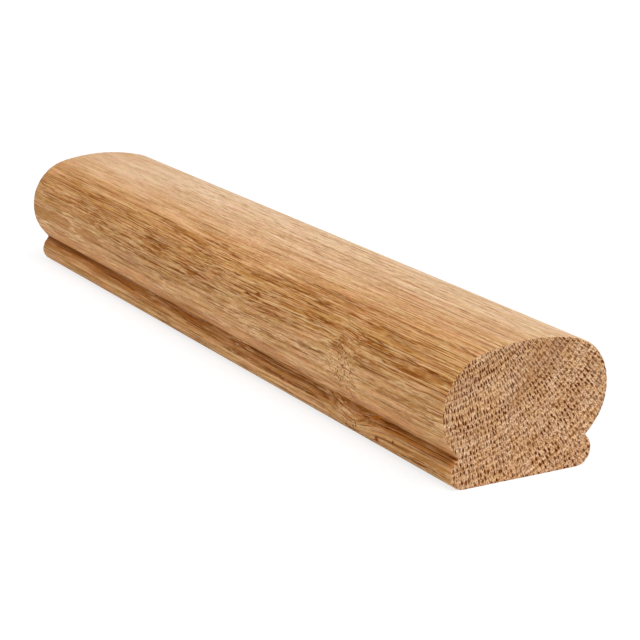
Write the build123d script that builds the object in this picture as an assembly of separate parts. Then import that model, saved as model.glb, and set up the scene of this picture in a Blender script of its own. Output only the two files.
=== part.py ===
from build123d import *
import math
import os

# Wooden stair handrail: one moulded length of solid oak, sawn square at both ends.
#
# The section is a broad grip over a narrower base with a bead along each edge. Where the
# straight undercut of the grip meets the straight flank of the bead, they leave a V groove
# for the fingertips along each side. The same section runs through the whole length.
#
# Sizes are in millimetres and slopes in degrees from the horizontal. X runs along the rail,
# Y across it and Z up. The origin is at the middle of the flat underside.

# Overall sizes
LENGTH = 305.0
HEIGHT = 47.0
GRIP_WIDTH = 66.7
BASE_WIDTH = 57.4

# Grip: a shallow crown runs into a round side, and that into the undercut below it
CROWN_RADIUS = 80.0
SIDE_RADIUS = 19.0
UNDERCUT_SLOPE = 49.4

# Base: a bead rises from the flat underside and runs into its flank
BEAD_RADIUS = 5.6
FLANK_SLOPE = 51.1

# Groove: the cutter that moulds the rail leaves a small radius in the bottom of the V
GROOVE_RADIUS = 0.5

# Centre of the grip's round side, from which it meets the crown without a break
SIDE_CENTRE_Y = GRIP_WIDTH / 2 - SIDE_RADIUS
CROWN_TO_SIDE = CROWN_RADIUS - SIDE_RADIUS
SIDE_CENTRE_Z = HEIGHT - CROWN_RADIUS + math.sqrt(CROWN_TO_SIDE**2 - SIDE_CENTRE_Y**2)
CROWN_ANGLE = math.degrees(math.asin(SIDE_CENTRE_Y / CROWN_TO_SIDE))


def section_from(right_half):
    """The face inside an outline, of which right_half is the part on the +Y side."""
    outline = Curve() + right_half
    return make_face(outline + mirror(outline, Plane.YZ))


def grip_section():
    """The grip, with its undercuts carried on down to the underside."""
    crown = CenterArc((0, HEIGHT - CROWN_RADIUS), CROWN_RADIUS, 90, -CROWN_ANGLE)
    side_turn = 180 - CROWN_ANGLE - UNDERCUT_SLOPE
    side = CenterArc((SIDE_CENTRE_Y, SIDE_CENTRE_Z), SIDE_RADIUS, 90 - CROWN_ANGLE, -side_turn)
    undercut = PolarLine(side @ 1, Axis.X, 180 + UNDERCUT_SLOPE)
    underside = Line(undercut @ 1, (0, 0))
    return section_from([crown, side, undercut, underside])


def base_section():
    """The base, with its flanks carried on up to where the grip is widest."""
    bead_centre = (BASE_WIDTH / 2 - BEAD_RADIUS, BEAD_RADIUS)
    bead = CenterArc(bead_centre, BEAD_RADIUS, -90, 180 - FLANK_SLOPE)
    widest_level = Axis((0, SIDE_CENTRE_Z), (1, 0))
    flank = PolarLine(bead @ 1, widest_level, 180 - FLANK_SLOPE)
    top = Line(flank @ 1, (0, SIDE_CENTRE_Z))
    underside = Line((0, 0), bead @ 0)
    return section_from([underside, bead, flank, top])


def rail_section():
    """The grip and the base as one section, with the bottoms of the two grooves rounded."""
    section = grip_section() + base_section()
    corners = section.vertices().filter_by(lambda corner: 0 < corner.Y < SIDE_CENTRE_Z)
    groove_bottoms = corners.sort_by(lambda corner: abs(corner.X))[:2]
    return fillet(groove_bottoms, GROOVE_RADIUS)


def handrail():
    """The section, run through the rail's length."""
    rail = extrude(Plane.YZ * rail_section(), LENGTH / 2, both=True)
    rail.label = "handrail"
    return rail


os.makedirs("parts", exist_ok=True)
export_step(handrail(), "parts/handrail.step")
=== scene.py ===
from collections import namedtuple
import math

import bpy
import numpy as np
from mathutils import Matrix, Vector


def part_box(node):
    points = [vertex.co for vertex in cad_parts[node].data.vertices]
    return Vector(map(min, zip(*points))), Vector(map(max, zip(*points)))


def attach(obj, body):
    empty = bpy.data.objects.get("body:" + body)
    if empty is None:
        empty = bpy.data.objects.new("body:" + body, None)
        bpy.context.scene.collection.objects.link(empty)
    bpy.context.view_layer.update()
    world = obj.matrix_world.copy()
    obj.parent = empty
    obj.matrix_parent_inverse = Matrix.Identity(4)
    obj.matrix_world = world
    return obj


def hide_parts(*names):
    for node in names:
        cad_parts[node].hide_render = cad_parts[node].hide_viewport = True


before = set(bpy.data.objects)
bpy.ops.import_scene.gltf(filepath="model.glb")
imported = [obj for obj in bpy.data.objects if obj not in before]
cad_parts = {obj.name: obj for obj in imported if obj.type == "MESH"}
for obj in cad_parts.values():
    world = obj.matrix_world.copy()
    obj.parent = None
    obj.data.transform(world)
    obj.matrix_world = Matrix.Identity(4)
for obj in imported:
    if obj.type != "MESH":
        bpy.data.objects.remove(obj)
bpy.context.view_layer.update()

# Looks of a moulded oak handrail. The wood's mesh is the section of the CAD node run along
# its length, fine enough to carry the planed relief and the torn arrises of the sawn ends.
# Its grain is a solid pattern: rings about a pith line, vessels along the fibres and rays
# out from the pith, so that the figure on the long faces runs on into the end grain.
# Names that end in _MM and the sizes of the grain's patterns are in millimetres, and other
# lengths are in metres.

MM = 0.001


def colour(red, green, blue):
    """A colour given as it shows on screen, from 0 to 255, as linear values by the sRGB curve."""
    def linear(value):
        share = value / 255
        return share / 12.92 if share <= 0.04045 else ((share + 0.055) / 1.055) ** 2.4
    return (linear(red), linear(green), linear(blue), 1.0)


# The overall sizes of the CAD node, rounded because its facets lie a little inside its curves
LOWEST, HIGHEST = (np.array(corner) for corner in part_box("handrail"))
LENGTH_MM, GRIP_WIDTH_MM, HEIGHT_MM = (round(float(size), 1) for size in (HIGHEST - LOWEST) / MM)

# The rest of the section, as the CAD node has it
BASE_WIDTH_MM = 57.4
CROWN_RADIUS_MM = 80.0
SIDE_RADIUS_MM = 19.0
UNDERCUT_TURN = math.radians(180 - 49.4)
BEAD_RADIUS_MM = 5.6
FLANK_SLOPE = math.radians(51.1)
GROOVE_RADIUS_MM = 0.5

# Steps of the mesh: along the rail, inwards over each sawn end, and round each stretch of the section.
# The rings of an end shrink to its centre, and edges that turn by more than the angle are sharp
STEPS_ALONG = 190
END_RINGS = 24
CROWN_STEPS, SIDE_STEPS, UNDERCUT_STEPS, GROOVE_STEPS = 30, 72, 8, 4
FLANK_STEPS, BEAD_STEPS, UNDERSIDE_STEPS = 10, 22, 30
END_CENTRE_MM = (0.0, 22.0)
SHARP_ANGLE = math.radians(50)

# Relief: planing leaves the soft early wood a little lower, and sawing tears the arrises, now and
# then deeper, and leaves the sawn faces uneven
PLANED_MM = 0.03
WASHBOARD_MM = 0.04
ARRIS_MM = 0.12
TORN_MM = 0.35
TEAR_SPACING_MM = 0.8
TEAR_RARITY = 4
SAWN_MM = 0.04
SEED = 7

# Grain: the pith runs beside and above the rail, the rings are about as wide as given, and the way
# round the pith is measured at the mean radius
PITH_Y_MM, PITH_Z_MM = -40.0, 90.0
RING_MM = 2.3
MEAN_RADIUS_MM = 70.0

# Early wood, as shares of a ring: its middle and spread in the relief, and between where and where
# it sets in and fades in the colour
EARLY_MIDDLE, EARLY_SPREAD = 0.25, 0.2
EARLY_FROM, EARLY_TO = (0.0, 0.12), (0.32, 0.62)

# Waves of the fibres across and up, and of the rings' widths: how far they stray, how long a radian of
# them is along their way and across it, all in millimetres, and where in its turn each starts
Wave = namedtuple("Wave", "stray along across start")
WAVES_Y = Wave(0.9, 83, math.inf, 0.7), Wave(0.3, 31, 23, 2.0)
WAVES_Z = Wave(0.8, 97, math.inf, 1.9), Wave(0.3, 37, 19, 0.4)
RING_WAVES = Wave(0.45, 4.3, math.inf, 0.0), Wave(0.22, 1.7, math.inf, 1.0)

# A pin knot in the -Y side: its middle and reach, and how far and how soon the fibres run out there
KNOT_MM = (95.5, -33.0, 23.0)
KNOT_SIZE_MM = (6.0, 8.0, 11.0)
KNOT_RISE_MM, KNOT_TURN_MM = 2.5, 8.0

# Above it the rings step down: how far and how soon, and the middle and reach of that
STEP_MM, STEP_TURN_MM = 1.1, 9.0
STEP_CENTRE_MM = (95.5, -33.0, 33.0)
STEP_SIZE_MM = (42.0, 8.0, 11.0)

# Below it the fibres sag across the groove and the bead, but not above the last height
SAG_MM = 3.2
SAG_CENTRE_MM = (97.0, -33.0, 0.0)
SAG_SIZE_MM = (12.0, 16.0, math.inf)
SAG_TOP_MM, SAG_FADE_MM = 13.0, 1.5

# A smaller knot in the bead below it, and two reddish buds beside that, each with its radius
LOW_KNOT_MM = (96.0, -28.5, 5.0)
LOW_KNOT_SIZE_MM = (5.0, 6.0, 3.6)
BUDS_MM = ((111.5, -28.5, 4.2, 1.2), (121.0, -28.6, 6.4, 0.7))

# The map for baking: a square with the skin unrolled in it, and the two ends, enlarged, above that
MAP_SIDE_MM = 309.0
MAP_GAP_MM = 2.0
END_MAP_SCALE = 2.1

# The photograph's camera
CAMERA_AIM = Vector((6.74, 16.01, 10.66)) * MM
CAMERA_DISTANCE = 0.7047
CAMERA_AZIMUTH = math.radians(56.62)
CAMERA_ELEVATION = math.radians(16.63)
CAMERA_ROLL = math.radians(2.75)
CAMERA_LENS_MM = 102.12
CAMERA_SENSOR_MM = 36.0

# The stage: one soft sun, a white world and a white floor. Seen directly, the floor glows, so that it
# is white but keeps a faint shadow
SUN_TOWARD = (0.4, -0.1, 0.9)
SUN_STRENGTH = 2.0
SUN_SPREAD = math.radians(40)
WHITE = (1.0, 1.0, 1.0, 1.0)
WORLD_LIGHT = 0.42
FLOOR_SIZE = 12
FLOOR_GREY = (0.9, 0.9, 0.9, 1.0)
SEEN_FLOOR_GREY = (0.25, 0.25, 0.25, 1.0)
SEEN_FLOOR_GLOW = 0.8

# A point of the wood as sockets, in millimetres: along the fibres, off the pith, out from it and
# round it
Grain = namedtuple("Grain", "along y z radius round")

# Patches along the fibres: their length and width in millimetres, a shift of their noise that sets
# them apart from other patches, the noise at which they begin and are full, and its detail
Patches = namedtuple("Patches", "length width shift begin full detail", defaults=[2.0])

# Streaks: patches with their tint and its share
Streaks = namedtuple("Streaks", "patches tint share")

# The ragged edge of a zone: the length and width of its waves in millimetres, a shift of their noise,
# how far they reach from side to side at most, and their detail
Edge = namedtuple("Edge", "length width shift reach detail", defaults=[2.0])

# Rays: how wide the slot of each sheet is, how thin the sheet is in it, as a share of the slot, and
# the length and height of the flecks that it is broken into
Rays = namedtuple("Rays", "spacing thin length height")

# All rays: the shares of its slot between which a sheet lies, how many times its thinness its edge
# reaches, how far its flecks are shifted from those of the sheet before, and the noise at which they
# set in
RAY_PLACES = (0.3, 0.7)
RAY_EDGE = 2.2
RAY_SHIFT = 3.7
RAY_FLECKS = (0.46, 0.58)

# How far the fibres sway at the crown and lower down, for either material, and the length, width and
# detail of the waves
PLANED_SWAY_MM, SAWN_SWAY_MM = (0.9, 1.6), (0.5, 0.5)
SWAY_LENGTH_MM, SWAY_WIDTH_MM, SWAY_DETAIL = 38, 10, 2.6

# The heights between which they calm upwards, and the distances from the knot between which they
# calm along the rail, with their shares there
SWAY_Z_MM = (18, 40)
SWAY_CALMS = (15, 90, 1.0, 0.45)

# The middle of the values that a noise has
NOISE_MIDDLE = 0.5

# Golden heartwood, which the shoulder on the -Y side cuts: its middle, how that drifts along the
# rail, and how far from it the wood is fully golden and no longer so
HEART_Y_MM, HEART_Z_MM = -31.2, 37.8
HEART_DRIFT_Y, HEART_DRIFT_Z = 0.010, 0.010
HEART_MM = (3.2, 15.6)
HEART_EDGE = Edge(60, 3, 0, 14.0, 3.0)

# The crown's pale tone, partly its wood and partly painted sheen: from where to where it sets in
# across the rail, and how that drifts
PALE_Y_MM = (-31.0, 8.0)
PALE_DRIFT = 0.045

# Heights between which the zones of the planed wood set in or end
CROWN_Z_MM = (30, 47)
SIDE_Z_MM = (34, 44)
# The belly, the middle of the side, gets painted light as a paler band
BELLY_FROM_Z_MM, BELLY_TO_Z_MM = (14, 21), (29, 38)
BEAD_Z_MM = (8, 14)
ZONE_EDGE = Edge(60, 6, 0, 16.0)

# Depths below the bottoms of the grooves, less than 0 above them: between which the painted shade
# of the grooves sets in and ends, between which the undercut does, and the corner's middle and its
# half widths
GROOVE_SHADE_FROM_MM, GROOVE_SHADE_MM = (-1.6, -0.2), (1.4, 5.6)
UNDERCUT_FROM_MM, UNDERCUT_TO_MM = (-13.0, -3.0), (-1.0, -0.2)
UNDERCUT_EDGE = Edge(26, 4, 173, 14.0)
CORNER_AT_MM, CORNER_MM = -0.1, (0.2, 1.2)

# Changes along the rail: the places between which each happens, in millimetres, and its share where
# it is strongest, or its shares at the one place and the other
GRAIN_LIVELY = (-150, 10)
BELLY_LIGHT_STRETCH = (-135, -65, 0.4)
BELLY_GOLD = (-130, -75, 0.6)
FAR_BROWN = (-160, -70, 0.3)
FAR_CROWN_BROWN = (-80, -10)
HEART_FADES, HEART_RETURNS = (-60, 10), (60, 95, 0.24)
GROOVE_SHADE_FADES, GROOVE_SHADE_RETURNS = (10, 35), (65, 90, 0.4)
STROKES_FADE = (20, 80, 1.0, 0.4)

# Tints of the planed wood, in pairs that lie in patches, and the shares of the single ones
TINT_PATCHES = Patches(28, 2.6, 0, 0.36, 0.64, 3.0)
# The crown's tints are partly its paler wood and partly painted sheen
CROWN_WOOD_AND_SHEEN_TINTS = colour(253, 221, 185), colour(244, 207, 166)
EDGE_TINT, EDGE_SHARE = colour(190, 160, 130), 0.6
LOW_TINTS = colour(245, 189, 134), colour(226, 160, 99)
# Painted light on the middle of the side
BELLY_LIGHT_TINT = colour(255, 206, 146)
BEAD_TINTS = colour(255, 206, 144), colour(250, 188, 119)
GOLD_TINTS = colour(206, 148, 85), colour(174, 113, 51)
BEAD_GOLD = 0.1
FAR_TINT = colour(206, 150, 100)
FAR_CROWN = (0.94, 0.95, 0.98, 1.0)

# Patches a little rosier and others more olive: their length, width and shift, the noise between
# which each sets in, and its share
HUE_MM = (11, 2.4, 157)
ROSY, ROSY_HUES = (1.0, 0.9, 0.95, 1.0), (0.50, 0.66, 0.6)
OLIVE, OLIVE_HUES = (0.94, 0.99, 0.86, 1.0), (0.34, 0.50, 0.4)

# Painted shade in the grooves: its patches and its shares between them and in them, and the shares
# of the corners' darker painted shade in the calm grain and in the lively
GROOVE_SHADE_PATCHES = Patches(40, 2.0, 83, 0.35, 0.65, 3.0)
GROOVE_SHADE_SHARES = (0.7, 1.0)
GROOVE_SHADE_TINT = colour(194, 118, 36)
CORNER_SHADE_TINT = colour(104, 46, 0)
CORNER_SHADE_SHARES = (0.72, 0.17)

# How strongly the grain shows: on the side and on the crown, how much more in dusky wood, and by how
# much the calm and the lively stretches weaken and strengthen it
SIDE_CONTRAST, CROWN_CONTRAST = 0.62, 0.28
DUSKY_CONTRAST = 0.45
LIVELY_CONTRAST = (0.58, 1.06)
BEAD_DUSK, GROOVE_DUSK = 0.3, 0.8
UNDERCUT_CALM = 0.4

# Layers of streaks, from the ground up
GOLDEN_PATCHES = Streaks(Patches(40, 3.4, 91, 0.46, 0.62), colour(202, 150, 80), 0.5)
CLOUDS = Streaks(Patches(12, 3.2, 139, 0.44, 0.60), colour(204, 150, 112), 0.6)
BLOTCHES = Streaks(Patches(32, 2.6, 5, 0.48, 0.64), colour(144, 82, 18), 0.75)
BROAD_STREAKS = Streaks(Patches(110, 1.5, 11, 0.48, 0.66), colour(150, 86, 20), 0.6)
DARK_LINES = Streaks(Patches(80, 0.42, 23, 0.54, 0.65), colour(126, 60, 0), 1.1)
PALE_LINES = Streaks(Patches(55, 0.34, 37, 0.52, 0.64), colour(248, 208, 154), 0.65)
FEATHERS = Streaks(Patches(8, 0.5, 53, 0.50, 0.60), colour(255, 214, 160), 0.9)
FIBRES = Streaks(Patches(2.4, 0.28, 17, 0.50, 0.68), colour(158, 92, 26), 0.4)
GLINTS = Streaks(Patches(3.6, 0.6, 29, 0.52, 0.66), colour(252, 214, 164), 0.34)
DASHES = Streaks(Patches(7, 0.4, 61, 0.52, 0.64), colour(132, 64, 0), 0.6)
GOLDEN_GLINTS = Streaks(Patches(6, 0.5, 67, 0.52, 0.64), colour(222, 168, 104), 0.6)

# How much of a layer is lost in a zone, or its shares outside the zone and in it
GOLDEN_LOST_ON_CROWN = 0.5
BLOTCH_SHARES = (0.2, 1.0)
PALE_LOST_IN_GROOVE = 0.6
FEATHERS_LOST_IN_HEART = 0.5
FIBRE_SHARES = (0.4, 1.0)
FIBRES_LOST_IN_GROOVE = 0.7
SIDE_STROKES = 0.35

# Early wood, and veins: their length, width, shift and detail, how far to each side of their middle
# noise they are full and end, and the stretches that they run for
RING_TINT, RING_SHARES = colour(164, 102, 38), (0.15, 0.70)
VEIN_TINT, VEIN_SHARE = colour(120, 60, 0), 0.85
VEIN_MM, VEIN_DETAIL = (75, 2.0, 131), 1.5
VEIN_EDGE = (0.008, 0.034)
VEIN_STRETCHES = Patches(30, 1.5, 149, 0.40, 0.55)

# Where the side is ruffled, and the rays of all the planed wood
RUFFLES = Patches(22, 5, 71, 0.44, 0.60)
PLANED_RAYS = Rays(1.1, 0.14, 15, 0.8)
RAY_TINT, RAY_SHARE = colour(244, 202, 154), 0.4
RAYS_LOST_IN_LINES = 0.6

# Vessels, the ticks of the crown and the specks round the knot: the sizes of their cells in
# millimetres, how near to its middle each is full and ends, and the luck that makes one
VESSEL_MM, VESSEL_EDGE = (46, 1.0, 0.85), (0.12, 0.36)
VESSEL_CHANCES, CHANCE_EDGE = (0.35, 0.85), 0.08
VESSELS_END_AT_KNOT = (0.1, 0.5)
PORE_TINT, PORE_SHARE = colour(118, 58, 2), 0.9
TICK_MM, TICK_EDGE, TICK_LUCK = (11, 0.85, 0.75), (0.15, 0.4), (0.2, 0.3)
TICK_TINT = colour(134, 76, 16)
TICK_CROWN_SHARES, TICK_LIVELY_SHARES = (0.15, 1.0), (0.45, 0.9)
TICKS_FADE_Y_MM, TICK_Y_SHARES = (6, 24), (1.0, 0.45)
SPECK_MM, SPECK_EDGE, SPECK_LUCK = (0.85, 1.1), (0.2, 0.5), (0.25, 0.4)
SPECKS_AT_KNOT = (0.14, 0.5)
SPECK_TINT, SPECK_SHARE = colour(124, 56, 4), 0.9

# A bud is full and ends at these shares of its radius
BUD_EDGE = (0.5, 1.3)
BUD_TINT, BUD_SHARE = colour(142, 60, 18), 0.9

# Fine relief of the planed wood: how much each thing counts in it, its strength and depth
LINE_RELIEF, PORE_RELIEF, VEIN_RELIEF = 0.3, 0.6, 0.8
PLANED_BUMP, PLANED_DEPTH_MM = 0.5, 0.12
PLANED_ROUGHNESS = (0.56, 0.68)
SPECULAR = 0.04

# Sawn wood: its ground tints in patches, and the heart in it
SAWN_PATCHES = Patches(70, 6, 0, 0.36, 0.64)
SAWN_TINTS = colour(255, 216, 175), colour(250, 204, 154)
SAWN_HEART_TINT, SAWN_HEART_SHARE = colour(190, 134, 80), 0.2

# The heights between which its upper part begins, where the pores are bolder
UPPER_Z_MM = (17, 36)

# Torn fibres between the pores: their cells, their noise and its detail, and their share low and up
TORN_CELLS_MM, TORN_DETAIL, TORN_NOISE = (70, 0.9, 0.28), 1.0, (0.40, 0.62)
TORN_TINT, TORN_SHARES = colour(146, 79, 2), (0.76, 0.58)

# Early wood of each ring, darker years that come again after a span, and one band of them that is
# darker than the rest: its distance from the pith, its half widths, and where across it sets in
SAWN_RING_TINT, SAWN_RING_SHARES = colour(152, 87, 14), (0.16, 0.56)
YEARS_TINT = colour(146, 82, 12)
YEARS_AT_MM, YEARS_SPAN_MM = 57, 16.5
YEARS_EDGE = (-0.6, 1.0, 0.13)
DARK_YEARS_AT_MM, DARK_YEARS_MM = 67, (1.5, 8.5)
DARK_YEARS_Y_MM, DARK_YEARS_SHARE = (-12, 6), 0.34
SAWN_RAYS = Rays(1.5, 0.07, 9, 7)
SAWN_RAY_TINT, SAWN_RAY_SHARE = colour(244, 204, 162), 0.5

# Rows of open pores: how many rows to a ring and their shift, the pores' spacing in millimetres, how
# narrow and irregular they are, how near to its middle each is full and ends, and the luck for one
Pores = namedtuple("Pores", "rows shift spacing narrow randomness edge luck")
LARGE_PORES = Pores(1, 0.25, 1.25, 1.6, 0.6, (0.26, 0.42), (0.02, 0.25))
SMALL_PORES = Pores(2, 0.0, 0.72, 1.3, 0.7, (0.2, 0.4), (0.1, 0.4))
UPPER_PORES_LARGER = 0.05
SMALL_PORE_SHARES = (0.6, 0.8)
BOLD_PATCHES = Patches(90, 9, 47, 0.38, 0.60)
BOLD_SHARES = (0.7, 1.0)
SAWN_PORE_TINT = colour(98, 42, 0)
TORN_RELIEF = 0.3
SAWN_BUMP, SAWN_DEPTH_MM = 0.6, 0.25
SAWN_ROUGHNESS = 0.65


def arc(centre, radius, start, end, steps):
    """Points of an arc after its first, by the angle of their outward normals from straight up."""
    turn = np.linspace(start, end, steps + 1)[1:]
    return np.column_stack((centre[0] + radius * np.sin(turn), centre[1] + radius * np.cos(turn)))


def line(start, end, steps):
    """Points of a straight stretch after its first."""
    return start + np.linspace(0, 1, steps + 1)[1:, None] * (np.asarray(end) - start)


def arc_centres():
    """Centres of the +Y half's arcs: the crown, the side, the small one in the groove, the bead."""
    side_y = GRIP_WIDTH_MM / 2 - SIDE_RADIUS_MM
    drop = math.sqrt((CROWN_RADIUS_MM - SIDE_RADIUS_MM) ** 2 - side_y**2)
    crown = np.array((0.0, HEIGHT_MM - CROWN_RADIUS_MM))
    side = np.array((side_y, crown[1] + drop))
    bead = np.array((BASE_WIDTH_MM / 2 - BEAD_RADIUS_MM, BEAD_RADIUS_MM))

    # The groove's radius touches both the undercut and the flank, from outside the wood
    normals = np.array([(math.sin(turn), math.cos(turn)) for turn in (UNDERCUT_TURN, FLANK_SLOPE)])
    reach = np.array((normals[0] @ side + SIDE_RADIUS_MM, normals[1] @ bead + BEAD_RADIUS_MM))
    groove = np.linalg.solve(normals, reach + GROOVE_RADIUS_MM)
    return crown, side, groove, bead


def half_section():
    """The outline in millimetres from the middle of the crown, by the +Y side, to that of the base."""
    crown, side, groove, bead = arc_centres()
    lean = math.atan2(side[0], side[1] - crown[1])
    side_arc = arc(side, SIDE_RADIUS_MM, lean, UNDERCUT_TURN, SIDE_STEPS)
    groove_top = arc(groove, -GROOVE_RADIUS_MM, 0, UNDERCUT_TURN, 1)[0]
    groove_arc = arc(groove, -GROOVE_RADIUS_MM, UNDERCUT_TURN, FLANK_SLOPE, GROOVE_STEPS)
    bead_top = arc(bead, BEAD_RADIUS_MM, 0, FLANK_SLOPE, 1)[0]
    bead_arc = arc(bead, BEAD_RADIUS_MM, FLANK_SLOPE, math.pi, BEAD_STEPS)
    return np.vstack(
        (
            [(0.0, HEIGHT_MM)],
            arc(crown, CROWN_RADIUS_MM, 0, lean, CROWN_STEPS),
            side_arc,
            line(side_arc[-1], groove_top, UNDERCUT_STEPS),
            groove_arc,
            line(groove_arc[-1], bead_top, FLANK_STEPS),
            bead_arc,
            line(bead_arc[-1], (0.0, 0.0), UNDERSIDE_STEPS),
        )
    )


def whole_section():
    """The closed outline, once round from the middle of the underside by way of the +Y side."""
    half = half_section()
    return np.vstack((half[::-1], half[1:-1] * (-1, 1)))


def outward(outline):
    """Unit normals of the closed outline, which runs counter-clockwise seen from +X."""
    ahead = np.roll(outline, -1, 0) - np.roll(outline, 1, 0)
    normal = np.column_stack((ahead[:, 1], -ahead[:, 0]))
    return normal / np.linalg.norm(normal, axis=1)[:, None]


def round_lengths(outline):
    """The way round the outline to each point, and the whole way round, in millimetres."""
    steps = np.linalg.norm(np.roll(outline, -1, 0) - outline, axis=1)
    return np.concatenate(([0.0], np.cumsum(steps)))


def nearness(points, centre, size):
    """How near each point is to a centre, from 0 to 1, with its reach along each axis."""
    off = (points - np.array(centre)) / np.array(size)
    return np.exp(-(off**2).sum(axis=1))


def round_knot(points):
    """How near each point is to either knot, from 0 to 1."""
    near = nearness(points, KNOT_MM, KNOT_SIZE_MM)
    return np.maximum(near, nearness(points, LOW_KNOT_MM, LOW_KNOT_SIZE_MM))


def below_groove(points):
    """How far each point is below the bottoms of the grooves, in millimetres."""
    return arc_centres()[2][1] - points[:, 2]


def wander(waves, along, across=0.0):
    """How far some waves together stray at each point."""
    return sum(
        wave.stray * np.sin(along / wave.along + across / wave.across + wave.start) for wave in waves
    )


def grain_at(points):
    """Where each point of the wood lies in the tree, in millimetres: along the pith, and off it."""
    x, y, z = points.T
    off_y = y - PITH_Y_MM + wander(WAVES_Y, x, y)
    off_z = z - PITH_Z_MM + wander(WAVES_Z, x, z)

    past_knot = x - KNOT_MM[0]
    rise = KNOT_RISE_MM * np.tanh(past_knot / KNOT_TURN_MM)
    step = STEP_MM * np.tanh(past_knot / STEP_TURN_MM)
    sag = SAG_MM / (1 + np.exp((z - SAG_TOP_MM) / SAG_FADE_MM))
    off_y = off_y + rise * nearness(points, KNOT_MM, KNOT_SIZE_MM)
    off_z = off_z + step * nearness(points, STEP_CENTRE_MM, STEP_SIZE_MM)
    off_z = off_z + sag * nearness(points, SAG_CENTRE_MM, SAG_SIZE_MM)

    # No two rings are of one width
    radius = np.hypot(off_y, off_z)
    swell = 1 + wander(RING_WAVES, radius) / radius
    return np.column_stack((x, off_y * swell, off_z * swell))


def early_wood(grain):
    """How far each point is in the soft early wood of its ring, from 0 to 1."""
    share = np.hypot(grain[:, 1], grain[:, 2]) / RING_MM % 1
    return np.exp(-(((share - EARLY_MIDDLE) / EARLY_SPREAD) ** 2))


def torn_arris(outline, draw):
    """How deep the arris of a sawn end is broken at each point of the outline, in millimetres."""
    way = round_lengths(outline)
    count = int(way[-1] / TEAR_SPACING_MM)
    tears = ARRIS_MM + TORN_MM * draw.random(count) ** TEAR_RARITY
    return np.interp(way[:-1], np.linspace(0, way[-1], count + 1), np.append(tears, tears[0]))


def skin_points(outline, draw):
    """Stations of the long surface from end to end, each a closed loop set in from the section."""
    inward = -outward(outline)
    above_ground = np.clip(outline[:, 1] / WASHBOARD_MM, 0, 1)
    half = LENGTH_MM / 2
    stations = []
    for x in np.linspace(-half, half, STEPS_ALONG + 1):
        grain = grain_at(np.column_stack((np.full(len(outline), x), outline)))
        depth = (PLANED_MM + WASHBOARD_MM * early_wood(grain)) * above_ground
        stations.append(np.column_stack((np.full(len(outline), x), outline + inward * depth[:, None])))
    for end, middle_way in ((0, 1), (-1, -1)):
        tear = torn_arris(outline, draw)
        rim = stations[end].copy()
        stations[end][:, 0] += middle_way * tear
        rim[:, 1:] += inward * tear[:, None]
        stations.insert(0 if end == 0 else len(stations), rim)
    return np.array(stations)


def cap_points(rim, draw):
    """Loops of a sawn end inside its rim, shrinking to a point, with the cut's faint unevenness."""
    centre = np.array(END_CENTRE_MM)
    shares = np.linspace(1, 0, END_RINGS + 1)[1:-1]
    loops = np.vstack([centre + share * (rim[:, 1:] - centre) for share in shares])
    x = rim[0, 0] - math.copysign(1, rim[0, 0]) * SAWN_MM * draw.random(len(loops))
    return np.vstack((np.column_stack((x, loops)), [(rim[0, 0], *centre)]))


def wood_faces(stations, count):
    """Faces of the skin and of the two ends, for so many stations with so many points each."""
    ring = np.arange(count)
    after = np.roll(ring, -1)
    low = (np.arange(stations - 1) * count)[:, None]
    high = low + count
    skin = np.stack((low + ring, low + after, high + after, high + ring), axis=2).reshape(-1, 4)
    cap_size = (END_RINGS - 1) * count + 1
    ends = []
    for side, rim in ((0, 0), (1, (stations - 1) * count)):
        first = stations * count + side * cap_size
        loops = [rim + ring] + [first + k * count + ring for k in range(END_RINGS - 1)]
        pairs = zip(loops, loops[1:])
        faces = [np.column_stack((outer, outer[after], inner[after], inner)) for outer, inner in pairs]
        fan = np.column_stack((loops[-1], loops[-1][after], np.full(count, first + cap_size - 1)))
        turn = 1 if side else -1
        ends += [row[::turn] for row in np.vstack(faces).tolist()]
        ends += [row[::turn] for row in fan.tolist()]
    return skin.tolist(), ends


def baking_map(points, outline, skin, ends):
    """Each face corner's place in the map: the skin unrolled, and the ends side by side above it."""
    way = round_lengths(outline)
    corners = np.array(skin)
    place = corners % len(outline)
    place[:, 1:3] = place[:, :1] + 1
    skin_u = points[corners, 0] + LENGTH_MM / 2 + MAP_GAP_MM
    skin_v = way[place] + MAP_GAP_MM

    x, y, z = points[np.concatenate([np.array(face) for face in ends])].T
    end_width = GRIP_WIDTH_MM * END_MAP_SCALE + MAP_GAP_MM
    end_u = MAP_GAP_MM + (y + GRIP_WIDTH_MM / 2) * END_MAP_SCALE + np.where(x > 0, end_width, 0)
    end_v = way[-1] + 2 * MAP_GAP_MM + z * END_MAP_SCALE
    u = np.concatenate((skin_u.ravel(), end_u))
    v = np.concatenate((skin_v.ravel(), end_v))
    return np.column_stack((u, v)) / MAP_SIDE_MM


def wood_mesh():
    """The rail's skin and its sawn ends as one closed mesh, with its grain and its baking map."""
    draw = np.random.default_rng(SEED)
    outline = whole_section()
    stations = skin_points(outline, draw)
    caps = [cap_points(stations[end], draw) for end in (0, -1)]
    points = np.vstack((stations.reshape(-1, 3), *caps))
    skin, ends = wood_faces(len(stations), len(outline))

    mesh = bpy.data.meshes.new("wood")
    mesh.from_pydata((points * MM).tolist(), [], skin + ends)
    mesh.update()
    sawn = np.zeros(len(mesh.polygons), np.int32)
    sawn[len(skin):] = 1
    mesh.polygons.foreach_set("material_index", sawn)
    mesh.polygons.foreach_set("use_smooth", np.ones(len(mesh.polygons), bool))
    grain = mesh.attributes.new("grain", "FLOAT_VECTOR", "POINT")
    grain.data.foreach_set("vector", grain_at(points).astype(np.float32).ravel())
    for name, measure in (("knot", round_knot), ("below_groove", below_groove)):
        held = mesh.attributes.new(name, "FLOAT", "POINT")
        held.data.foreach_set("value", measure(points).astype(np.float32))
    bake = mesh.uv_layers.new(name="OFBake")
    bake.data.foreach_set("uv", baking_map(points, outline, skin, ends).astype(np.float32).ravel())
    return mesh


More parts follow.
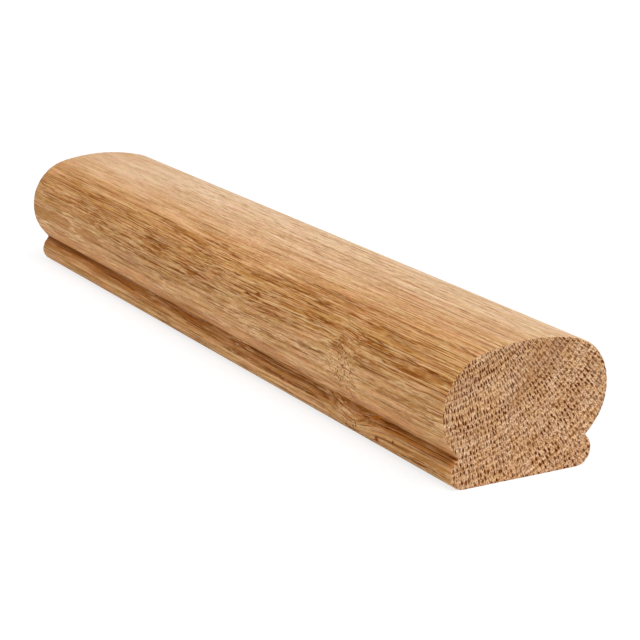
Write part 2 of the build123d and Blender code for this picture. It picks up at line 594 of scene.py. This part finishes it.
class Nodes:
    """The shader nodes of a material or world. A method adds nodes and returns an output socket."""

    def __init__(self, owner):
        owner.use_nodes = True
        self.owner = owner
        self.tree = owner.node_tree
        self.tree.nodes.clear()

    def add(self, kind, inputs, output=0, **settings):
        node = self.tree.nodes.new("ShaderNode" + kind)
        for name, value in settings.items():
            setattr(node, name, value)
        for key, value in inputs.items():
            if isinstance(value, bpy.types.NodeSocket):
                self.tree.links.new(value, node.inputs[key])
            else:
                node.inputs[key].default_value = value
        return node.outputs[output] if node.outputs else None

    def compute(self, operation, first, second=0.0):
        return self.add("Math", {0: first, 1: second}, operation=operation)

    def plus(self, first, second):
        return self.compute("ADD", first, second)

    def less(self, first, second):
        return self.compute("SUBTRACT", first, second)

    def times(self, product, *factors):
        for factor in factors:
            product = self.compute("MULTIPLY", product, factor)
        return product

    def most(self, value, *others):
        for other in others:
            value = self.compute("MAXIMUM", value, other)
        return value

    def apart(self, first, second):
        return self.compute("ABSOLUTE", self.less(first, second))

    def without(self, value, share=1.0):
        """1 less a share of the value."""
        return self.less(1.0, self.times(value, share))

    def between(self, low, high, share):
        """low where the share is 0, high where it is 1, and evenly between them."""
        return self.plus(low, self.times(share, high - low))

    def rise(self, value, low, high, end=1.0):
        """0 up to low, end from high on, and smooth between them."""
        inputs = {0: value, 1: low, 2: high, 3: 0.0, 4: end}
        return self.add("MapRange", inputs, interpolation_type="SMOOTHSTEP")

    def fall(self, value, low, high, start=1.0, end=0.0):
        """start up to low, end from high on, and smooth between them."""
        inputs = {0: value, 1: low, 2: high, 3: start, 4: end}
        return self.add("MapRange", inputs, interpolation_type="SMOOTHSTEP")

    def vector(self, x, y, z):
        return self.add("CombineXYZ", {0: x, 1: y, 2: z})

    def parts(self, vector):
        return self.add("SeparateXYZ", {0: vector}).node.outputs

    def length(self, vector):
        return self.add("VectorMath", {0: vector}, output="Value", operation="LENGTH")

    def attribute(self, name, output="Fac"):
        return self.add("Attribute", {}, output=output, attribute_name=name)

    def noise(self, place, detail=2.0, output=0):
        return self.add("TexNoise", {"Vector": place, "Scale": 1.0, "Detail": detail}, output=output)

    def luck(self, number):
        return self.add("TexWhiteNoise", {"W": number}, noise_dimensions="1D")

    def cells(self, place, narrow=1.0, randomness=1.0, dimensions="3D"):
        """The distance to the nearest cell's middle, and a random number of that cell.

        Where narrow isn't 1, sizes in the place's second direction count that many times as much.
        """
        inputs = {"Vector": place, "Scale": 1.0, "Randomness": randomness}
        distance = self.add("TexVoronoi", inputs, feature="F1", voronoi_dimensions=dimensions)
        outputs = distance.node.outputs
        luck = self.add("SeparateColor", {0: outputs["Color"]})
        if narrow != 1.0:
            off = self.add("VectorMath", {0: place, 1: outputs["Position"]}, operation="SUBTRACT")
            scaled = {0: off, 1: (1.0, narrow, 1.0)}
            distance = self.length(self.add("VectorMath", scaled, operation="MULTIPLY"))
        return distance, luck

    def mix(self, share, first, second, blend="MIX"):
        inputs = {"Factor": share, 6: first, 7: second}
        return self.add("Mix", inputs, output=2, data_type="RGBA", blend_type=blend)

    def multiplied(self, share, first, second):
        return self.mix(share, first, second, "MULTIPLY")

    def seen(self):
        """1 for what the camera sees, directly or mirrored, and 0 for what only gives light."""
        path = self.add("LightPath", {}).node.outputs
        return self.most(path["Is Camera Ray"], path["Is Glossy Ray"], path["Is Transmission Ray"])


def up(heights):
    """Heights above the underside, counted from the pith."""
    return [height - PITH_Z_MM for height in heights]


def over(places):
    """Places across the rail, counted from the pith."""
    return [place - PITH_Y_MM for place in places]


def read_grain(n, sway_mm):
    """The mesh's grain, whose fibres sway by about so much at the crown and lower down."""
    along, y, z = n.parts(n.attribute("grain", "Vector"))
    across = [n.times(place, 1 / SWAY_WIDTH_MM) for place in (y, z)]
    place = n.vector(n.times(along, 1 / SWAY_LENGTH_MM), *across)
    waves = n.parts(n.noise(place, SWAY_DETAIL, "Color"))
    still, lively = sway_mm
    livelier = n.times(n.fall(n.apart(along, KNOT_MM[0]), *SWAY_CALMS), lively - still)
    sway = n.plus(still, n.times(n.fall(z, *up(SWAY_Z_MM)), livelier))
    y = n.plus(y, n.times(n.less(waves[0], NOISE_MIDDLE), sway))
    z = n.plus(z, n.times(n.less(waves[1], NOISE_MIDDLE), sway))
    round_pith = n.times(n.compute("ARCTAN2", z, y), MEAN_RADIUS_MM)
    return Grain(along, y, z, n.length(n.vector(0.0, y, z)), round_pith)


def by_rings(n, grain, along, radius, round_pith):
    """A place for a pattern that follows the rings, with cells of the three sizes."""
    places = (grain.radius, grain.round, grain.along)
    sizes = (radius, round_pith, along)
    return n.vector(*(n.times(place, 1 / size) for place, size in zip(places, sizes)))


def by_block(n, grain, length, width, shift):
    """A place for a pattern that follows only the fibres, with cells of the two sizes."""
    lengthwise = n.plus(n.times(grain.along, 1 / length), shift)
    return n.vector(lengthwise, n.times(grain.y, 1 / width), n.times(grain.z, 1 / width))


def patchy(n, grain, patches):
    """1 in the patches and 0 between them."""
    place = by_block(n, grain, patches.length, patches.width, patches.shift)
    return n.rise(n.noise(place, patches.detail), patches.begin, patches.full)


def ragged(n, grain, edge):
    """How far the edge of a zone is off its even place, in millimetres."""
    noise = n.noise(by_block(n, grain, edge.length, edge.width, edge.shift), edge.detail)
    return n.times(n.less(noise, NOISE_MIDDLE), edge.reach)


def tinted(n, tone, tint, cover, contrast, share):
    """The tone with a tint where the cover says, as strong as its share of the contrast."""
    strength = n.compute("MINIMUM", n.times(contrast, share), 1.0)
    return n.mix(n.times(cover, strength), tone, tint)


def streaked(n, grain, tone, streaks, contrast):
    """The tone with a layer of streaks, and how much of each point they cover."""
    cover = patchy(n, grain, streaks.patches)
    return tinted(n, tone, streaks.tint, cover, contrast, streaks.share), cover


def early_part(n, grain):
    """1 in the porous early wood of a ring and 0 in the dense late wood, and a tone of the ring's own."""
    turns = n.times(grain.radius, 1 / RING_MM)
    share = n.compute("FRACT", turns)
    early = n.times(n.rise(share, *EARLY_FROM), n.fall(share, *EARLY_TO))
    return early, n.luck(n.compute("FLOOR", turns))


def ray_flecks(n, grain, rays):
    """Thin sheets out from the pith, one to each slot round it, broken into flecks."""
    turns = n.times(grain.round, 1 / rays.spacing)
    slot = n.compute("FLOOR", turns)
    off_sheet = n.apart(n.compute("FRACT", turns), n.between(*RAY_PLACES, n.luck(slot)))
    along = n.times(grain.along, 1 / rays.length)
    out = n.times(grain.radius, 1 / rays.height)
    flecks = n.rise(n.noise(n.vector(along, out, n.times(slot, RAY_SHIFT))), *RAY_FLECKS)
    return n.times(n.fall(off_sheet, rays.thin, rays.thin * RAY_EDGE), flecks)


def heartwood(n, grain):
    """How golden the wood is: most near the middle of the heart, with streaky edges."""
    middle_y = n.plus(n.times(grain.along, HEART_DRIFT_Y), HEART_Y_MM - PITH_Y_MM)
    middle_z = n.plus(n.times(grain.along, HEART_DRIFT_Z), HEART_Z_MM - PITH_Z_MM)
    off = n.vector(0.0, n.less(grain.y, middle_y), n.less(grain.z, middle_z))
    return n.fall(n.plus(n.length(off), ragged(n, grain, HEART_EDGE)), *HEART_MM)


# Zones of the planed wood as sockets, 1 inside and 0 outside: the pale crown, the side below it, the
# middle of that, the bead, a groove and its corner, the undercut, the heart, what is dusky like it,
# and the stretch where the grain is lively
Zones = namedtuple("Zones", "crown side belly bead groove corner undercut heart dusky lively")


def read_zones(n, grain):
    """The zones of the planed wood."""
    level = n.plus(grain.z, ragged(n, grain, ZONE_EDGE))
    across = n.less(n.plus(grain.y, PITH_Y_MM), n.times(grain.along, PALE_DRIFT))
    bead = n.fall(level, *up(BEAD_Z_MM))
    below = n.attribute("below_groove")
    below_edge = n.plus(below, ragged(n, grain, UNDERCUT_EDGE))
    heart = heartwood(n, grain)
    return Zones(
        crown=n.times(n.rise(level, *up(CROWN_Z_MM)), n.rise(across, *PALE_Y_MM)),
        side=n.times(n.fall(level, *up(SIDE_Z_MM)), n.without(bead)),
        belly=n.times(n.rise(level, *up(BELLY_FROM_Z_MM)), n.fall(level, *up(BELLY_TO_Z_MM))),
        bead=bead,
        # The groove zone and its corner carry painted shade
        groove=n.times(n.fall(below, *GROOVE_SHADE_MM), n.rise(below, *GROOVE_SHADE_FROM_MM)),
        corner=n.fall(n.apart(below, CORNER_AT_MM), *CORNER_MM),
        undercut=n.times(n.rise(below_edge, *UNDERCUT_FROM_MM), n.fall(below, *UNDERCUT_TO_MM)),
        heart=heart,
        dusky=n.most(heart, n.times(bead, BEAD_DUSK)),
        lively=n.rise(grain.along, *GRAIN_LIVELY),
    )


def ground(n, grain, zones):
    """The tone under the grain: pale on the crown, partly by painted sheen, golden at the bead and deep
    gold in the heart.
    """
    patch = patchy(n, grain, TINT_PATCHES)
    gold = n.mix(patch, *GOLD_TINTS)
    # Painted light: the middle of the side is paler over most of the length
    lit_belly = n.times(zones.belly, n.rise(grain.along, *BELLY_LIGHT_STRETCH))
    low = n.mix(lit_belly, n.mix(patch, *LOW_TINTS), BELLY_LIGHT_TINT)
    low = n.mix(zones.bead, low, n.mix(patch, *BEAD_TINTS))
    # The crown is paler, partly its wood and partly painted sheen
    tone = n.mix(zones.crown, low, n.mix(patch, *CROWN_WOOD_AND_SHEEN_TINTS))
    crown_edge = n.times(zones.crown, n.without(zones.crown), EDGE_SHARE)
    tone = n.mix(crown_edge, tone, EDGE_TINT)

    # The heart is a little less golden for a stretch
    fades = n.times(n.rise(grain.along, *HEART_FADES), n.fall(grain.along, *HEART_RETURNS))
    golden = n.most(n.times(zones.heart, n.without(fades)), n.times(zones.bead, BEAD_GOLD))
    tone = n.mix(golden, tone, gold)

    # Towards the far end all of it is browner
    tone = n.mix(n.times(zones.belly, n.fall(grain.along, *BELLY_GOLD)), tone, gold)
    tone = n.mix(n.fall(grain.along, *FAR_BROWN), tone, FAR_TINT)
    far_crown = n.times(zones.crown, n.fall(grain.along, *FAR_CROWN_BROWN))
    tone = n.multiplied(far_crown, tone, FAR_CROWN)

    # Golden patches all over, and soft clouds on the undercut
    tone, _ = streaked(n, grain, tone, GOLDEN_PATCHES, n.without(zones.crown, GOLDEN_LOST_ON_CROWN))
    tone, _ = streaked(n, grain, tone, CLOUDS, zones.undercut)
    return tone


def grain_contrast(n, zones):
    """How strongly the grain shows: most in the heart and the grooves, and little on the crown."""
    dusky = n.most(zones.dusky, n.times(zones.groove, GROOVE_DUSK))
    contrast = n.between(SIDE_CONTRAST, CROWN_CONTRAST, zones.crown)
    contrast = n.plus(contrast, n.times(dusky, DUSKY_CONTRAST))
    calm = n.without(zones.undercut, UNDERCUT_CALM)
    return n.times(contrast, n.between(*LIVELY_CONTRAST, zones.lively), calm)


def shaded_grooves(n, grain, zones, tone):
    """The tone with painted shade in the grooves, weaker for a stretch."""
    weaker = n.times(n.rise(grain.along, *GROOVE_SHADE_FADES), n.fall(grain.along, *GROOVE_SHADE_RETURNS))
    patch = patchy(n, grain, GROOVE_SHADE_PATCHES)
    share = n.times(zones.groove, n.without(weaker), n.between(*GROOVE_SHADE_SHARES, patch))
    return n.mix(share, tone, GROOVE_SHADE_TINT)


def vein_cover(n, grain):
    """Thin veins, far apart, which run on for most of the length."""
    off_vein = n.apart(n.noise(by_block(n, grain, *VEIN_MM), VEIN_DETAIL), NOISE_MIDDLE)
    return n.times(n.fall(off_vein, *VEIN_EDGE), patchy(n, grain, VEIN_STRETCHES))


def ruffled(n, grain, zones, dark, tone):
    """The tone with feathery flecks where the side is ruffled, and with broken rays."""
    in_side = n.times(zones.side, patchy(n, grain, RUFFLES))
    feathery = n.times(in_side, n.without(zones.heart, FEATHERS_LOST_IN_HEART))
    tone, _ = streaked(n, grain, tone, FEATHERS, feathery)
    flecks = n.times(ray_flecks(n, grain, PLANED_RAYS), n.without(dark, RAYS_LOST_IN_LINES))
    return n.mix(n.times(flecks, RAY_SHARE), tone, RAY_TINT)


def fibrous(n, grain, zones, tone):
    """The tone with short fibres that end in the surface, and glints where they lie askew."""
    askew = n.between(*FIBRE_SHARES, zones.lively)
    askew = n.times(askew, n.without(zones.groove, FIBRES_LOST_IN_GROOVE))
    askew = n.times(askew, n.without(zones.undercut, UNDERCUT_CALM))
    tone, _ = streaked(n, grain, tone, FIBRES, askew)
    tone, _ = streaked(n, grain, tone, GLINTS, n.times(askew, n.without(zones.heart)))

    # In the heart, and less so below it, the strokes are bolder
    bolder = n.most(zones.heart, n.times(zones.side, SIDE_STROKES))
    stroked = n.times(askew, bolder, n.fall(grain.along, *STROKES_FADE))
    tone, _ = streaked(n, grain, tone, DASHES, stroked)
    tone, _ = streaked(n, grain, tone, GOLDEN_GLINTS, n.times(askew, zones.heart))
    return tone


def hued(n, grain, tone):
    """The tone with patches a little rosier, and others a little more olive."""
    hue = n.noise(by_block(n, grain, *HUE_MM))
    tone = n.multiplied(n.rise(hue, *ROSY_HUES), tone, ROSY)
    return n.multiplied(n.fall(hue, *OLIVE_HUES), tone, OLIVE)


def vessels(n, grain, early, knot):
    """Long thin pores, dense in the early wood, which leave out the knots."""
    distance, luck = n.cells(by_rings(n, grain, *VESSEL_MM))
    there = n.rise(n.less(n.between(*VESSEL_CHANCES, early), luck), 0.0, CHANCE_EDGE)
    return n.times(n.fall(distance, *VESSEL_EDGE), there, n.fall(knot, *VESSELS_END_AT_KNOT))


def ticks(n, grain, zones):
    """Short ticks, where the planer has cut vessels across: most on the crown and on its -Y half."""
    distance, luck = n.cells(by_rings(n, grain, *TICK_MM))
    tick = n.times(n.fall(distance, *TICK_EDGE), n.rise(luck, *TICK_LUCK))
    tick = n.times(tick, n.between(*TICK_CROWN_SHARES, zones.crown))
    tick = n.times(tick, n.fall(grain.y, *over(TICKS_FADE_Y_MM), *TICK_Y_SHARES))
    return n.times(tick, n.between(*TICK_LIVELY_SHARES, zones.lively))


def specks(n, grain, knot):
    """Dark specks round the knots, where the pores are cut across."""
    places = [n.times(place, 1 / size) for place, size in zip((grain.along, grain.z), SPECK_MM)]
    distance, luck = n.cells(n.vector(*places, 0.0))
    speck = n.times(n.fall(distance, *SPECK_EDGE), n.rise(luck, *SPECK_LUCK))
    return n.times(speck, n.rise(knot, *SPECKS_AT_KNOT))


def budded(n, grain, tone):
    """The tone with the reddish buds beside the low knot."""
    for *centre, radius in BUDS_MM:
        middle = grain_at(np.array([centre]))[0]
        places = (grain.along, grain.y, grain.z)
        off = n.vector(*(n.less(place, at) for place, at in zip(places, middle)))
        full, end = (radius * share for share in BUD_EDGE)
        tone = n.mix(n.fall(n.length(off), full, end, BUD_SHARE), tone, BUD_TINT)
    return tone


def surfaced(n, tone, roughness, height, bump, depth_mm):
    """The material of a tone, a roughness and a fine relief of such a strength and depth."""
    normal = n.add("Bump", {"Strength": bump, "Distance": depth_mm * MM, "Height": height})
    inputs = {"Base Color": tone, "Roughness": roughness, "Specular IOR Level": SPECULAR}
    shader = n.add("BsdfPrincipled", {**inputs, "Normal": normal})
    n.add("OutputMaterial", {"Surface": shader})
    return n.owner


def planed_oak():
    """Oak cut along the grain and planed smooth."""
    n = Nodes(bpy.data.materials.new("oak_planed"))
    grain = read_grain(n, PLANED_SWAY_MM)
    zones = read_zones(n, grain)
    contrast = grain_contrast(n, zones)
    knot = n.attribute("knot")
    early, ring_tone = early_part(n, grain)

    # The grooves are darkened with painted shade
    tone = shaded_grooves(n, grain, zones, ground(n, grain, zones))
    ring_share = n.times(early, n.between(*RING_SHARES, ring_tone), contrast)
    tone = n.mix(ring_share, tone, RING_TINT)
    tone, _ = streaked(n, grain, tone, BLOTCHES, n.between(*BLOTCH_SHARES, zones.dusky))
    tone, _ = streaked(n, grain, tone, BROAD_STREAKS, contrast)
    tone, dark = streaked(n, grain, tone, DARK_LINES, contrast)
    pale_contrast = n.times(contrast, n.without(zones.groove, PALE_LOST_IN_GROOVE))
    tone, pale = streaked(n, grain, tone, PALE_LINES, pale_contrast)
    vein = vein_cover(n, grain)
    tone = tinted(n, tone, VEIN_TINT, vein, contrast, VEIN_SHARE)
    tone = ruffled(n, grain, zones, dark, tone)
    tone = fibrous(n, grain, zones, tone)
    tone = hued(n, grain, tone)

    pore = vessels(n, grain, early, knot)
    speck = specks(n, grain, knot)
    tone = tinted(n, tone, PORE_TINT, pore, contrast, PORE_SHARE)
    tone = n.mix(ticks(n, grain, zones), tone, TICK_TINT)
    tone = n.mix(n.times(speck, SPECK_SHARE), tone, SPECK_TINT)
    tone = budded(n, grain, tone)
    # Painted shade, darkest in the corners of the grooves
    tone = n.mix(n.times(zones.corner, n.between(*CORNER_SHADE_SHARES, zones.lively)), tone, CORNER_SHADE_TINT)

    open_grain = n.most(pore, speck, n.times(vein, VEIN_RELIEF))
    height = n.less(n.times(n.less(pale, dark), LINE_RELIEF), n.times(open_grain, PORE_RELIEF))
    roughness = n.between(*PLANED_ROUGHNESS, dark)
    return surfaced(n, tone, roughness, height, PLANED_BUMP, PLANED_DEPTH_MM)


def dark_years(n, grain):
    """The share of the darker years' tint: spans of them, and one band darker than the rest."""
    turn = n.times(n.less(grain.radius, YEARS_AT_MM), math.tau / YEARS_SPAN_MM)
    spans = n.rise(n.compute("COSINE", turn), *YEARS_EDGE)
    band = n.fall(n.apart(grain.radius, DARK_YEARS_AT_MM), *DARK_YEARS_MM)
    return n.plus(spans, n.times(band, n.rise(grain.y, *over(DARK_YEARS_Y_MM), DARK_YEARS_SHARE)))


def pore_rows(n, grain, pores, larger=0.0):
    """Open pores in rows along the rings, each larger by a share of its cell."""
    row = n.plus(n.times(grain.radius, pores.rows / RING_MM), pores.shift)
    place = n.vector(row, n.times(grain.round, 1 / pores.spacing), 0.0)
    distance, luck = n.cells(place, pores.narrow, pores.randomness, "2D")
    return n.times(n.fall(n.less(distance, larger), *pores.edge), n.rise(luck, *pores.luck))


def sawn_oak():
    """Oak cut square across the grain, with rows of open pores between the rays."""
    n = Nodes(bpy.data.materials.new("oak_sawn"))
    grain = read_grain(n, SAWN_SWAY_MM)
    early, ring_tone = early_part(n, grain)
    upper = n.rise(grain.z, *up(UPPER_Z_MM))

    tone = n.mix(patchy(n, grain, SAWN_PATCHES), *SAWN_TINTS)
    tone = n.mix(n.times(heartwood(n, grain), SAWN_HEART_SHARE), tone, SAWN_HEART_TINT)
    torn = n.noise(by_rings(n, grain, *TORN_CELLS_MM), TORN_DETAIL)
    torn_share = n.times(n.rise(torn, *TORN_NOISE), n.between(*TORN_SHARES, upper))
    tone = n.mix(torn_share, tone, TORN_TINT)
    tone = n.mix(n.times(early, n.between(*SAWN_RING_SHARES, ring_tone)), tone, SAWN_RING_TINT)
    tone = n.mix(dark_years(n, grain), tone, YEARS_TINT)
    tone = n.mix(n.times(ray_flecks(n, grain, SAWN_RAYS), SAWN_RAY_SHARE), tone, SAWN_RAY_TINT)

    # One row of large pores to each ring, and small ones between
    large = pore_rows(n, grain, LARGE_PORES, n.times(upper, UPPER_PORES_LARGER))
    small = n.times(pore_rows(n, grain, SMALL_PORES), n.between(*SMALL_PORE_SHARES, upper))
    bold = n.between(*BOLD_SHARES, patchy(n, grain, BOLD_PATCHES))
    pore = n.times(n.most(large, small), bold)
    tone = n.mix(pore, tone, SAWN_PORE_TINT)

    height = n.less(n.times(torn, TORN_RELIEF), pore)
    return surfaced(n, tone, SAWN_ROUGHNESS, height, SAWN_BUMP, SAWN_DEPTH_MM)


def build_rail():
    """The handrail, standing for its CAD node."""
    rail = bpy.data.objects.new("handrail_wood", wood_mesh())
    bpy.context.scene.collection.objects.link(rail)
    rail.data.materials.append(planed_oak())
    rail.data.materials.append(sawn_oak())
    rail.data.set_sharp_from_angle(angle=SHARP_ANGLE)
    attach(rail, "root")
    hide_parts("handrail")


def build_floor():
    """A white floor that keeps a soft shadow."""
    bpy.ops.mesh.primitive_plane_add(size=FLOOR_SIZE)
    floor = bpy.context.object
    floor.name = "floor"
    n = Nodes(bpy.data.materials.new("floor_white"))
    lit = n.add("BsdfDiffuse", {"Color": FLOOR_GREY})
    part_lit = n.add("BsdfDiffuse", {"Color": SEEN_FLOOR_GREY})
    glow = n.add("Emission", {"Color": WHITE, "Strength": SEEN_FLOOR_GLOW})
    shown = n.add("AddShader", {0: part_lit, 1: glow})
    n.add("OutputMaterial", {"Surface": n.add("MixShader", {0: n.seen(), 1: lit, 2: shown})})
    floor.data.materials.append(n.owner)


def build_world():
    """A world that is white to the camera and gives a dimmer light."""
    n = Nodes(bpy.data.worlds.new("studio"))
    light = n.add("Background", {"Color": WHITE, "Strength": WORLD_LIGHT})
    white = n.add("Background", {"Color": WHITE})
    n.add("OutputWorld", {"Surface": n.add("MixShader", {0: n.seen(), 1: light, 2: white})})
    bpy.context.scene.world = n.owner


def add_sun():
    """A soft sun overhead."""
    data = bpy.data.lights.new("overhead", "SUN")
    data.energy = SUN_STRENGTH
    data.angle = SUN_SPREAD
    sun = bpy.data.objects.new("overhead", data)
    bpy.context.scene.collection.objects.link(sun)
    sun.rotation_euler = Vector(SUN_TOWARD).to_track_quat("Z", "Y").to_euler()


def add_camera():
    """The camera at the photograph's place, by its direction, roll and distance from its aim."""
    data = bpy.data.cameras.new("camera")
    data.lens = CAMERA_LENS_MM
    data.sensor_width = CAMERA_SENSOR_MM
    camera = bpy.data.objects.new("camera", data)
    bpy.context.scene.collection.objects.link(camera)
    sine, cosine = math.sin(CAMERA_AZIMUTH), math.cos(CAMERA_AZIMUTH)
    flat = math.cos(CAMERA_ELEVATION)
    back = Vector((sine * flat, -cosine * flat, math.sin(CAMERA_ELEVATION)))
    right = Matrix.Rotation(CAMERA_ROLL, 3, back) @ Vector((cosine, sine, 0.0))
    turned = Matrix((right, back.cross(right), back)).transposed().to_4x4()
    camera.matrix_world = Matrix.Translation(CAMERA_AIM + CAMERA_DISTANCE * back) @ turned
    bpy.context.scene.camera = camera


build_rail()
build_floor()
build_world()
add_sun()
add_camera()
bpy.context.scene.view_settings.view_transform = "Standard"
